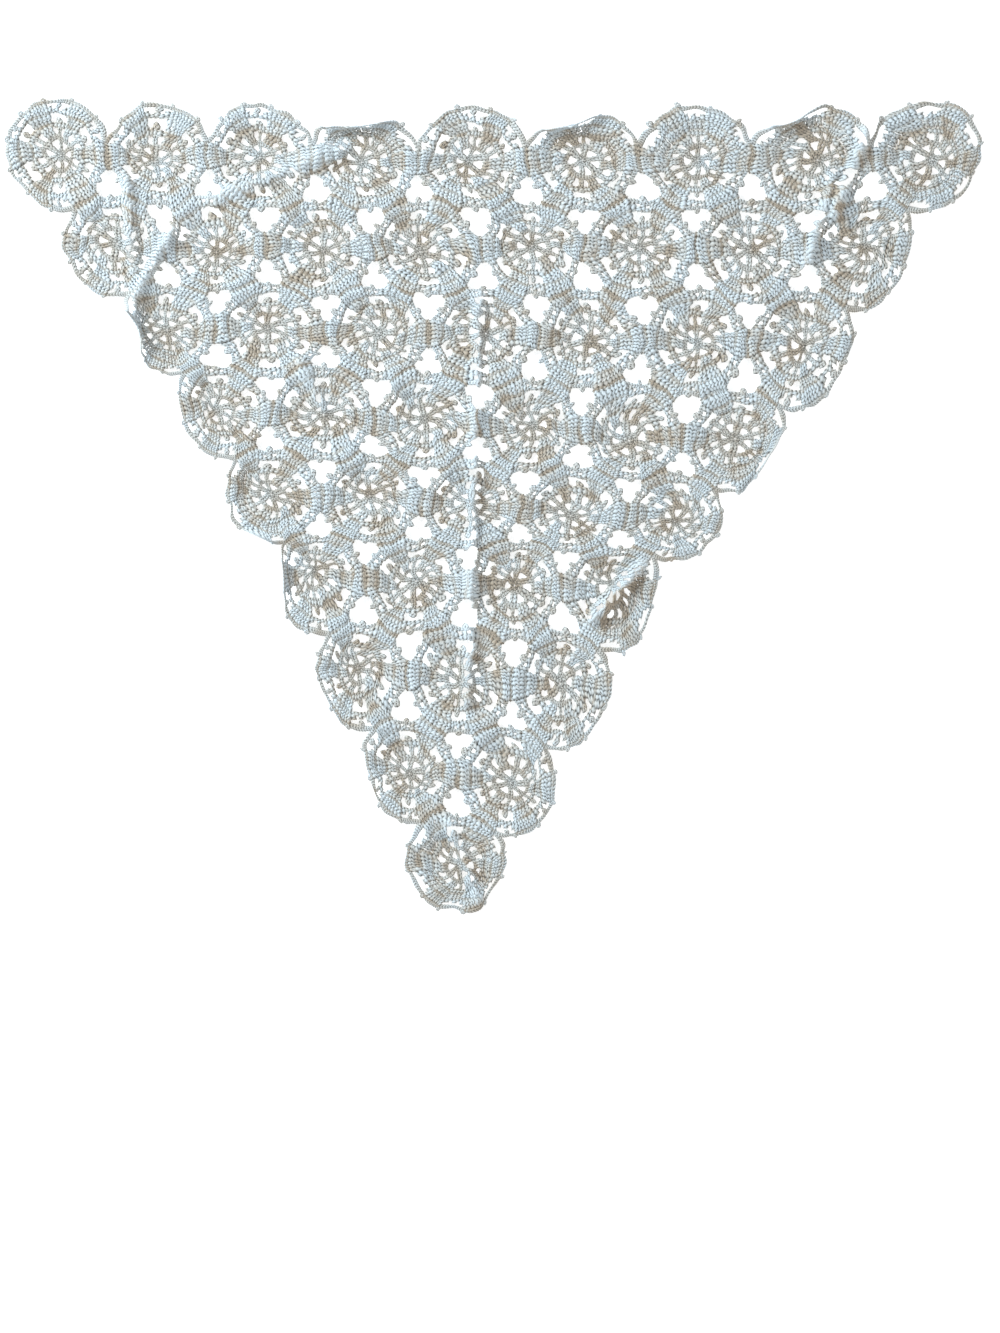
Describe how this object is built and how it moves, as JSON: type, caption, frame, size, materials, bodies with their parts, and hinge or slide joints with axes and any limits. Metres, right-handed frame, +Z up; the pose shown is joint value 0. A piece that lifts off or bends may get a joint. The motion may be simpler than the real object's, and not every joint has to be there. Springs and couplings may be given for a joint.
{
  "type": "triangle shawl",
  "caption": "Triangular lace shawl crocheted in hexagonal flower motifs joined fan to fan, laid out flat with its point down and its edges a little rolled.",
  "frame": {"origin": "on the surface that the shawl lies on, under the middle of its box", "axes": "+X along the top edge to the right, +Y from the point towards the top edge, +Z up off the surface"},
  "size_m": [1.1638, 0.974, 0.0237],
  "materials": {
    "cotton": "matte undyed cotton yarn, crocheted"
  },
  "bodies": {
    "root": {"motif_1_1": "cotton", "motif_1_2": "cotton", "motif_1_3": "cotton", "motif_1_4": "cotton", "motif_1_5": "cotton", "motif_1_6": "cotton", "motif_1_7": "cotton", "motif_1_8": "cotton", "motif_1_9": "cotton", "motif_2_1": "cotton", "motif_2_2": "cotton", "motif_2_3": "cotton", "motif_2_4": "cotton", "motif_2_5": "cotton", "motif_2_6": "cotton", "motif_2_7": "cotton", "motif_2_8": "cotton", "motif_3_1": "cotton", "motif_3_2": "cotton", "motif_3_3": "cotton", "motif_3_4": "cotton", "motif_3_5": "cotton", "motif_3_6": "cotton", "motif_3_7": "cotton", "motif_4_1": "cotton", "motif_4_2": "cotton", "motif_4_3": "cotton", "motif_4_4": "cotton", "motif_4_5": "cotton", "motif_4_6": "cotton", "motif_5_1": "cotton", "motif_5_2": "cotton", "motif_5_3": "cotton", "motif_5_4": "cotton", "motif_5_5": "cotton", "motif_6_1": "cotton", "motif_6_2": "cotton", "motif_6_3": "cotton", "motif_6_4": "cotton", "motif_7_1": "cotton", "motif_7_2": "cotton", "motif_7_3": "cotton", "motif_8_1": "cotton", "motif_8_2": "cotton", "motif_9_1": "cotton"}
  },
  "joints": []
}
